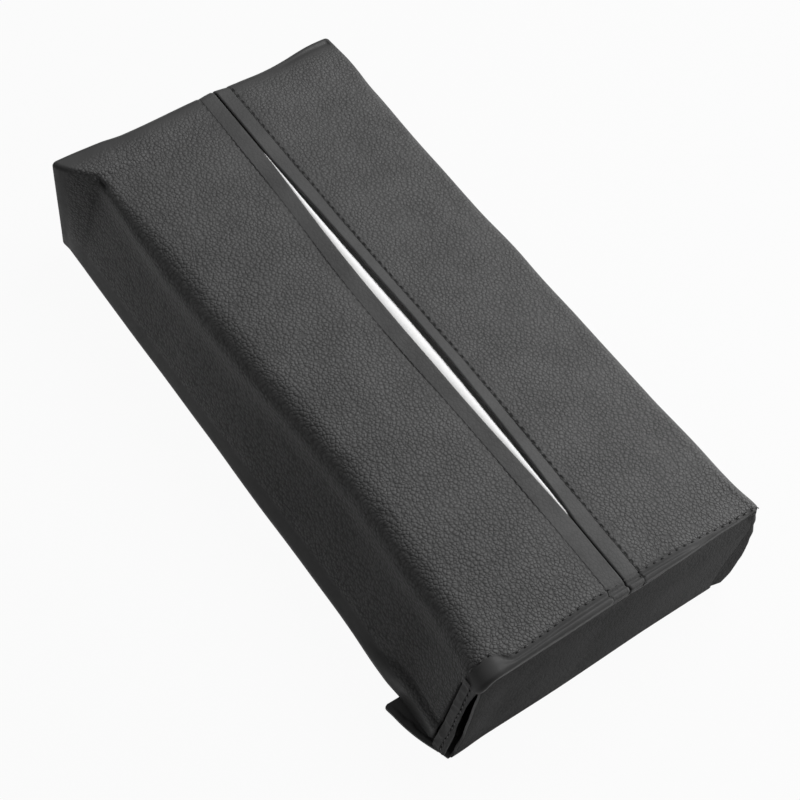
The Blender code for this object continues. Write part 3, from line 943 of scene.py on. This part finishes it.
def stripPoint(side, path, share, depth=0.0):
    # path runs in millimetres from the wall's edge round the corner, share from the bottom up.
    z = blend(mouth["bottom"], mouth["top"][side], share)
    wallFront = cover["front"] + hem["setback"]
    x, face = between(mouth["half"][side], z), between(mouth["face"][side], z)
    if side == "right":
        x -= rise(z, mouth["flare"]) * max(1.0 - path / face, 0.0) ** 1.5
    corner, turn = mouth["corner"][side], mouth["turn"][side]
    angle = min(max((path - face) / corner, 0.0), turn)
    rest = max(path - face - corner * turn, 0.0)
    forward = min(path, face) + corner * math.sin(angle) + rest * math.cos(turn)
    inward = corner * (1.0 - math.cos(angle)) + rest * math.sin(turn)
    x -= inward + depth * math.cos(angle)
    y = wallFront + mouth["start"] + mouth["lean"] * share ** 3 - forward + depth * math.sin(angle)
    return Vector((sideSign[side] * x, y, z))


def outerEdge(share):
    # The outer layer's width wanders a little.
    return mouth["outer"] + mouth["edgeWander"] * sway(share * 40, 1, 2, 5.0)


def makeMouthStrips(leathers, backing, thread):
    for side in ("left", "right"):
        materials = [leathers[side], backing]
        beyond = mouth["corner"][side] * mouth["turn"][side] + mouth["return"][side]

        def outerLayer(a, b):
            ripple = sway(a * 1.5, b * 45.0, 0.5, 2.2, 5.0 * sideSign[side]) * math.sin(math.pi * a)
            dive = mouth["tuckUnder"] * max(1.0 - a * outerEdge(b) / 1.1, 0.0) ** 2
            depth = dive - mouth["standOff"] - mouth["ripple"] * ripple
            return stripPoint(side, a * outerEdge(b), b, depth)

        def innerLayer(a, b):
            ripple = mouth["innerRipple"] * sway(a * 3, b * 40, 4, 3.0) * (1.0 - a)
            height = blend(mouth["bottom"], mouth["top"][side], b)
            whole = between(mouth["face"][side], height) + beyond
            return stripPoint(side, blend(mouth["outer"] - mouth["overlap"], whole, a), b, -ripple)

        sign = sideSign[side]
        outer = gridPiece(side + "Outer", 24, 130, outerLayer, materials, (4, 45), (sign, 0.0, 0.0))
        inner = gridPiece(side + "Inner", 40, 70, innerLayer, materials, (18, 45), (sign, -1.0, 0.0))
        thicken(outer, mouth["outerLayer"], rim=0.12)
        thicken(inner, mouth["layer"], backing=1, rim=0.15)
        bm = bmesh.new()
        path = []
        for index in range(61):
            share = blend(0.03, 0.93, index / 60)
            place = stripPoint(side, outerEdge(share) + 0.25, share, -0.15)
            path.append((place, Vector((sign, -0.25, 0.0)).normalized()))
        stitchRow(bm, path, sewing["strip"], 0.25)
        seam = meshPiece(side + "StripStitches", bm, [thread])
        obj = join(side + "MouthStrip", outer, inner, seam)
        settle(obj, "cover", "pressed_leather", "mouth_strip_" + side)
    print("stage: mouth strips")


# The sewn rear end and the base
ends = {"crown": 1.0, "inset": 3.5, "baseSetback": 3.1}


def rearOutline(side):
    # Half widths of the rear end at many heights, inside the rolled edge
    spots = []
    for index in range(241):
        across = blend(topShare, footShare, index / 240)
        point, normal = sectionPoint(side, cover["rear"], across)
        point = point - normal * ends["inset"]
        spots.append((point.y, point.x))
    return sorted(spots)


def widthAt(spots, z):
    for (low, x), (high, beyond) in zip(spots, spots[1:]):
        if low <= z <= high:
            return blend(x, beyond, (z - low) / max(high - low, 1e-6))
    return spots[0][1] if z < spots[0][0] else spots[-1][1]


def makeRearEnd(materials):
    outlines = {side: rearOutline(side) for side in ("left", "right")}
    low = min(outlines["left"][0][0], outlines["right"][0][0])
    high = cover["top"] - ends["inset"]

    def shape(a, b):
        z = blend(low, high, endSpread(b, 0.8))
        side = "left" if a < 0.5 else "right"
        span = endSpread(a, 0.6) * 2.0 - 1.0
        tall = min(z, outlines[side][-1][0])
        x = widthAt(outlines[side], tall) * span
        sink = (z - tall) * abs(span)
        swell = (1.0 - span * span) * (1.0 - (2 * b - 1) ** 2)
        y = cover["rear"] + ends["crown"] * min(swell * 1.6, 1.0) + 0.25 * sway(x, 0, z, 18.0) * swell
        return drawn(Vector((x, y, z - sink)))

    obj = gridPiece("rearEnd", 96, 48, shape, materials, (124, 46), (0.0, 1.0, 0.0))
    thicken(obj, cover["leather"], backing=1, edge=2)
    settle(obj, "cover", "grained_leather", "rear_end_panel")
    print("stage: rear end")


def makeBase(materials):
    front = cover["front"] + ends["baseSetback"]
    flatEnd = cover["rear"] - cover["roll"]
    turnLength = cover["roll"] * math.pi / 2
    whole = flatEnd - front + turnLength

    def shape(a, b):
        path = b * whole
        y, z = front + path, cover["clearance"]
        if path > flatEnd - front:
            turn = (path - flatEnd + front) / cover["roll"]
            y = flatEnd + cover["roll"] * math.sin(turn)
            z += cover["roll"] * (1.0 - math.cos(turn))
        half = footHalf(y) - cover["foot"] - cover["lip"] - cover["seam"]
        x = blend(-half, half, a)
        z += 0.12 * sway(x, y, 0, 30.0) * math.sin(math.pi * a)
        return Vector((x, y, z))

    obj = gridPiece("basePanel", 60, 130, shape, materials, (108, 240), (0.0, 0.0, -1.0))
    thicken(obj, cover["leather"], backing=1, edge=2)
    settle(obj, "cover", "grained_leather", "base_panel")
    print("stage: base")


# The flap at the mouth and its tuck-in tab
flap = {
    "plane": -120.5,
    "top": 52.5,
    "bottom": 1.5,
    "thickness": 1.2,
    "left": ((0.0, 61.6), (4.0, 59.6), (13.0, 58.9), (25.0, 59.9), (37.0, 60.4), (45.5, 59.8),
             (50.0, 57.8), (52.5, 55.0), (60.0, 55.0)),
    "right": ((0.0, 57.4), (6.0, 55.8), (11.0, 54.6), (19.0, 54.8), (28.0, 55.7), (36.0, 57.6),
              (46.0, 59.0), (60.0, 59.4)),
    "belly": 0.55,
    "bellyHalf": 58.0,
    "curl": (0.9, -44.0, -58.0),      # the left edge stands off
    "tuckIn": (1.2, -25.0, 40.0),     # the fold to the tab draws back towards the right
    "tuckOut": (0.5, -45.0, -59.0),   # and comes forward at the left end
    "tuckHeight": (7.0, 1.0),
    "hang": 0.4,          # the top leans in under the hem, more so at the right
    "hangRight": (1.3, 5.0, 45.0),
    "hangHeight": (41.5, 51.5),
    "topLeft": (0.8, -42.0, -52.0),   # the top reaches up behind the shorter hem at the left corner
    "topLeftHeight": (44.0, 52.0),
    "give": 0.35,
}


def cornerInset(distance, radius):
    if distance >= radius:
        return 0.0
    return radius - math.sqrt(radius * radius - (radius - max(distance, 0.0)) ** 2)


def foldLine(x):
    # How far the fold between flap and tab lies behind the flap's plane
    return rise(x, flap["tuckIn"]) - rise(x, flap["tuckOut"])


def makeFlap(materials):
    def shape(a, b):
        share = endSpread(b, 0.6)
        z = blend(flap["bottom"], flap["top"], share)
        x = blend(-between(flap["left"], z), between(flap["right"], z), endSpread(a, 0.6))
        span = x / flap["bellyHalf"]
        y = flap["plane"] - flap["belly"] * (1.0 - span * span) * math.sin(math.pi * share)
        y -= rise(x, flap["curl"]) * math.sin(math.pi * min(share * 1.15, 1.0))
        hang = flap["hang"] + rise(x, flap["hangRight"])
        y += foldLine(x) * over(z, flap["tuckHeight"]) + hang * over(z, flap["hangHeight"])
        y -= flap["give"] * sway(x, 0, z, 30.0, 3.0) * math.sin(math.pi * share)
        z += rise(x, flap["topLeft"]) * over(z, flap["topLeftHeight"])
        return Vector((x, y, z))

    obj = gridPiece("frontFlap", 120, 64, shape, materials, (116, 50), (0.0, -1.0, 0.0))
    thicken(obj, flap["thickness"], 0.0, backing=1, edge=2, rim=0.25)
    settle(obj, "flap", "grained_leather", "front_flap")
    print("stage: flap")


tab = {
    "lift": 0.3,
    "thickness": 1.0,
    "depth": 26.0,
    "left": 61.5,
    "right": 57.4,
    "skew": 7.1,
    "corner": 1.3,
    "hem": 2.0,
    "hemRise": 0.95,      # the doubled strip along the outer edge
    "knot": 0.8,          # where its end is turned over
    "knotPlace": (-65.0, -104.6),
    "knotSize": (0.8, 1.1),
}


def makeTab(materials):
    level = tab["lift"] + tab["thickness"] / 2

    def shape(a, b):
        share = endSpread(b, 0.6)
        inset = cornerInset((1.0 - share) * tab["depth"], tab["corner"])
        shift = tab["skew"] * (1.0 - (1.0 - share) ** 2)
        left = -tab["left"] - shift + inset
        right = tab["right"] - shift - inset
        x = blend(left, right, endSpread(a, 0.85))
        fromEdge = (x - left) / tab["hem"]
        raised = tab["hemRise"] * ease(1.6 - fromEdge) * ease((1.0 - share) * 5.0) * ease(share * 8.0)
        y = flap["plane"] + foldLine(x) * (1.0 - share) + share * tab["depth"]
        (knotX, knotY), (width, depth) = tab["knotPlace"], tab["knotSize"]
        raised += tab["knot"] * hump(x, knotX, width) * hump(y, knotY, depth)
        return Vector((x, y, level + raised))

    obj = gridPiece("tuckTab", 130, 30, shape, materials, (116, 26), (0.0, 0.0, -1.0))
    thicken(obj, tab["thickness"], 0.0, backing=1, edge=2, rim=0.2)
    settle(obj, "tab", "grained_leather", "tuck_tab")
    print("stage: tab")


# Hook and loop tapes
tape = {"width": 80.0, "depth": 15.0, "thickness": 0.6, "inset": 4.0, "corner": 1.8}


def makeClosure(name, bottom, material, body, node):
    bm = bmesh.new()
    width, depth, thickness = tape["width"], tape["depth"], tape["thickness"]
    middle = flap["plane"] + tab["depth"] - tape["inset"] - depth / 2
    block(bm, (width, depth, thickness), (0.0, middle, bottom + thickness / 2))
    upright = [edge for edge in bm.edges if abs(edge.verts[0].co.z - edge.verts[1].co.z) > 0.1]
    bmesh.ops.bevel(bm, geom=upright, offset=tape["corner"], segments=4, profile=0.5,
                    affect="EDGES", material=-1)
    obj = meshPiece(name, bm, [material])
    obj.data.set_sharp_from_angle(angle=math.radians(40))
    settle(obj, body, "hook_and_loop_tape", node)


# Elastic bands under the base
band = {"width": 25.0, "thickness": 1.4, "flatHalf": 42.0, "rise": 9.0, "end": 56.0,
        "centres": {"front": -45.0, "rear": 75.0}}


def makeBand(place, material):
    centre = band["centres"][place]
    lift = cover["clearance"] - cover["seam"] - band["thickness"]

    def shape(a, b):
        x = blend(-band["end"], band["end"], a)
        z = lift * ease((abs(x) - band["flatHalf"]) / band["rise"])
        return Vector((x, centre + blend(-0.5, 0.5, b) * band["width"], z))

    obj = gridPiece(place + "ElasticBand", 90, 12, shape, [material], (112, 25), (0.0, 0.0, -1.0))
    thicken(obj, band["thickness"], rim=0.35)
    settle(obj, "cover", "elastic_webbing", "elastic_band_" + place)


# The tissues: a pile of folded sheets and the next one, raised into the slit
pile = {
    "left": -50.0,
    "right": 50.0,
    "front": -98.0,
    "rear": 116.0,
    "low": 4.9,
    "high": 50.2,
    "round": 3.0,
    # level cuts part the layers, and the others give the sides points to move
    "cuts": (((0.0, 0.0, 1.0), range(9, 50)), ((0.0, 1.0, 0.0), range(-90, 110, 10)),
             ((1.0, 0.0, 0.0), range(-40, 50, 10))),
    "margin": 1.0,        # a side's points lie within this of it
    "stepOut": 0.35,      # of single layers, and a slower wander of the whole side
    "wander": 0.4,
}


def makePileOfTissues(material):
    bm = bmesh.new()
    size = (pile["right"] - pile["left"], pile["rear"] - pile["front"], pile["high"] - pile["low"])
    block(bm, size, (0.0, (pile["rear"] + pile["front"]) / 2, (pile["low"] + pile["high"]) / 2))
    bmesh.ops.bevel(bm, geom=bm.edges[:], offset=pile["round"], segments=4, profile=0.5,
                    affect="EDGES", material=-1)
    for way, places in pile["cuts"]:
        for place in places:
            bmesh.ops.bisect_plane(bm, geom=bm.verts[:] + bm.edges[:] + bm.faces[:],
                                   plane_co=Vector(way) * place, plane_no=way)
    for vert in bm.verts:
        x, y, z = vert.co
        if pile["low"] + pile["round"] < z < pile["high"] - pile["round"]:
            push = pile["stepOut"] * sway(0.0, 0.0, z * 3.0, 1.7) + pile["wander"] * sway(x, y, z, 15.0)
            if abs(x) > pile["right"] - pile["margin"]:
                vert.co.x += math.copysign(push, x)
            if y < pile["front"] + pile["margin"] or y > pile["rear"] - pile["margin"]:
                vert.co.y += math.copysign(push, y)
    obj = meshPiece("tissuePile", bm, [material])
    settle(obj, "cover", "tissue_paper", "tissue_stack")
    return obj


sheet = {
    "half": 40.0,
    "halfLength": 93.0,
    "upper": 0.62,        # share of the cloth's width in the upper layer, and where its fold ends
    "foldEnd": 0.66,
    "lowLayer": 50.65,
    "gap": 0.5,
    "swell": 53.6,        # height of the broad rise below the slit
    "swellHalf": 15.0,
    "ridge": 54.9,        # its crest in the middle of the slit
    "ridgeEnd": 55.55,    # and near the slit's tips, where the lips pinch it
    "fade": 7.0,
    "thickness": 0.2,
}


def makeTopSheet(material):
    # One sheet folded in two: the lower layer flat on the pile, the upper one raised.
    upper, foldEnd = sheet["upper"], sheet["foldEnd"]

    def shape(a, b):
        y = blend(-sheet["halfLength"], sheet["halfLength"], b)
        if a < upper:
            step = 2.0 * a / upper - 1.0
            x = sheet["half"] * step * abs(step) ** 0.9
            fade = ease((sheet["halfLength"] - abs(y)) / sheet["fade"])
            reach = min(abs(x) / sheet["swellHalf"], 1.0)
            base = sheet["lowLayer"] + sheet["gap"]
            z = base + (sheet["swell"] - base) * (1.0 + math.cos(math.pi * reach)) / 2 * fade
            crest = blend(sheet["ridgeEnd"], sheet["ridge"], slitShare(y) ** 0.7)
            offside = min(abs(x - gapMiddle(y)) / (halfGap(y) + 0.3), 1.0)
            z += (crest - z) * (1.0 - offside ** 2) * fade + 0.1 * sway(x, y, 0, 6.0)
        elif a < foldEnd:
            turn = (a - upper) / (foldEnd - upper) * math.pi
            x = sheet["half"] + sheet["gap"] / 2 * math.sin(turn)
            z = sheet["lowLayer"] + sheet["gap"] / 2 * (1.0 + math.cos(turn))
        else:
            x = blend(sheet["half"], 2.0 - sheet["half"], (a - foldEnd) / (1.0 - foldEnd))
            z = sheet["lowLayer"]
        return Vector((x, y, z))

    obj = gridPiece("topTissue", 150, 150, shape, [material], (160, 186))
    thicken(obj, sheet["thickness"], 0.0)
    settle(obj, "cover", "tissue_paper", "top_tissue")


# The floor and the light that comes from all round, in metres and plain strengths
studio = {
    "floorHalf": 2.0,
    "floorGrey": 0.26,
    "floorGlow": 0.95,    # share of plain white that the camera sees in it, and so do reflections
    "ambient": 0.1,
    "aim": (0.0, 0.0, 0.03),
    # name, place, size and power of each lamp
    "lamps": (("overhead", (0.41, 0.07, 0.7), 0.45, 7.3),
              ("frontRight", (0.32, -0.24, 0.12), 0.2, 0.98),
              ("rearLeft", (-0.5, 0.38, 0.22), 0.3, 0.28)),
}
white = (1.0, 1.0, 1.0, 1.0)


def makeFloor():
    finish = Finish("pale_floor", grey(studio["floorGrey"]), 0.9)
    rays = finish.node("ShaderNodeLightPath")
    seen = rays.most(rays.other("Is Glossy Ray")).most(rays.other("Is Transmission Ray"))
    glow = finish.node("ShaderNodeEmission", inputs={"Color": white, "Strength": 1.0})
    lit = Link(finish, finish.shader.outputs["BSDF"])
    mixed = finish.node("ShaderNodeMixShader", inputs={0: seen * studio["floorGlow"], 1: lit, 2: glow})
    finish.feed(finish.tree.nodes["Material Output"].inputs["Surface"], mixed)
    bm = bmesh.new()
    bmesh.ops.create_grid(bm, x_segments=1, y_segments=1, size=studio["floorHalf"])
    mesh = bpy.data.meshes.new("floor")
    bm.to_mesh(mesh)
    bm.free()
    mesh.materials.append(finish.material)
    obj = bpy.data.objects.new("floor", mesh)
    bpy.context.scene.collection.objects.link(obj)


def makeLights():
    for name, place, size, power in studio["lamps"]:
        data = bpy.data.lights.new(name, "AREA")
        data.size = size
        data.energy = power
        lamp = bpy.data.objects.new(name, data)
        lamp.location = place
        toward = Vector(studio["aim"]) - Vector(place)
        lamp.rotation_euler = toward.to_track_quat("-Z", "Y").to_euler()
        bpy.context.scene.collection.objects.link(lamp)
    world = bpy.data.worlds.new("studio")
    bpy.context.scene.world = world
    world.use_nodes = True
    sky = Nodes(world.node_tree)
    seen = sky.node("ShaderNodeLightPath")
    values = {"Value": seen, "To Min": studio["ambient"], "To Max": 1.0}
    level = sky.node("ShaderNodeMapRange", inputs=values)
    background = sky.tree.nodes["Background"]
    sky.feed(background.inputs["Color"], white)
    sky.feed(background.inputs["Strength"], level)


# The photograph's camera, found by fitting the seams, corners and outline
view = {
    "focal": 2093.36,     # in pixels of the photograph
    "pixels": 800.0,
    "sensor": 36.0,
    "azimuth": -51.2247,
    "elevation": 54.2975,
    "roll": 17.4701,
    "unit": 240.0,        # the length that the distance and the slide are counted in
    "distance": 3.1587,
    "slide": (-0.0281, -0.0157),
    "lift": 3.4,
}


def makeCamera():
    azimuth, elevation = math.radians(view["azimuth"]), math.radians(view["elevation"])
    back = Vector((math.sin(azimuth) * math.cos(elevation), -math.cos(azimuth) * math.cos(elevation),
                   math.sin(elevation)))
    level = Vector((math.cos(azimuth), math.sin(azimuth), 0.0))
    upright = back.cross(level)
    roll = math.radians(view["roll"])
    right = level * math.cos(roll) + upright * math.sin(roll)
    up = upright * math.cos(roll) - level * math.sin(roll)
    place = back * view["distance"] - right * view["slide"][0] - up * view["slide"][1]
    place = (place * view["unit"] + Vector((0.0, 0.0, view["lift"])) + seamPlace) * mm
    data = bpy.data.cameras.new("photoCamera")
    data.sensor_width = view["sensor"]
    data.lens = view["focal"] / view["pixels"] * view["sensor"]
    data.clip_start, data.clip_end = 0.01, 10.0
    camera = bpy.data.objects.new("photoCamera", data)
    turned = Matrix((right, up, back)).transposed().to_4x4()
    turned.translation = place
    camera.matrix_world = turned
    bpy.context.scene.collection.objects.link(camera)
    bpy.context.scene.camera = camera


def build():
    bpy.context.scene.view_settings.view_transform = "Standard"
    makeCamera()
    makeLights()
    makeFloor()
    backing, cutEdge, thread = makeBacking(), makeCutEdge(), makeThread()
    panelLeather = makeLeather("grained_leather", flat=panelSmoothAndShade, holes=panelPitsAndShade)
    plainLeather = makeLeather("end_leather", grain=0.9)
    pressed = makeLeather("pressed_leather", shade=0.95, grain=0.15, matt=0.06)
    # painted light: a lighter copy of the black leather for the lit left mouth strip and the shaded top of
    # the tab
    litStripLeather = makeLeather("strip_leather_painted_light", shade=2.3, grain=0.1, gloss=0.6, matt=0.12)
    flapLeather = makeLeather("flap_leather", grain=0.25, gloss=0.15, matt=0.2)
    print("stage: finishes")
    makePanels([panelLeather, backing])
    makeLips([pressed, backing, cutEdge])
    makeStitches(thread)
    makeMouthStrips({"left": litStripLeather, "right": flapLeather}, backing, thread)
    makeRearEnd([plainLeather, backing, cutEdge])
    makeBase([plainLeather, backing, cutEdge])
    makeFlap([flapLeather, backing, cutEdge])
    makeTab([plainLeather, litStripLeather, cutEdge])
    loops, hooks = makeTape("loop_tape", 0.9, 0.4), makeTape("hook_tape", 0.5, 0.25)
    makeClosure("baseLoopTape", cover["clearance"] - cover["seam"] - tape["thickness"], loops,
                "cover", "base_loop_strip")
    makeClosure("tabHookTape", tab["lift"] + tab["thickness"] + cover["seam"], hooks,
                "tab", "tab_hook_strip")
    webbing = makeWebbing()
    for place in band["centres"]:
        makeBand(place, webbing)
    print("stage: tapes and bands")
    paper = makePaper()
    stack = makePileOfTissues(makePile())
    makeTopSheet(paper)
    print("stage: tissues")


build()
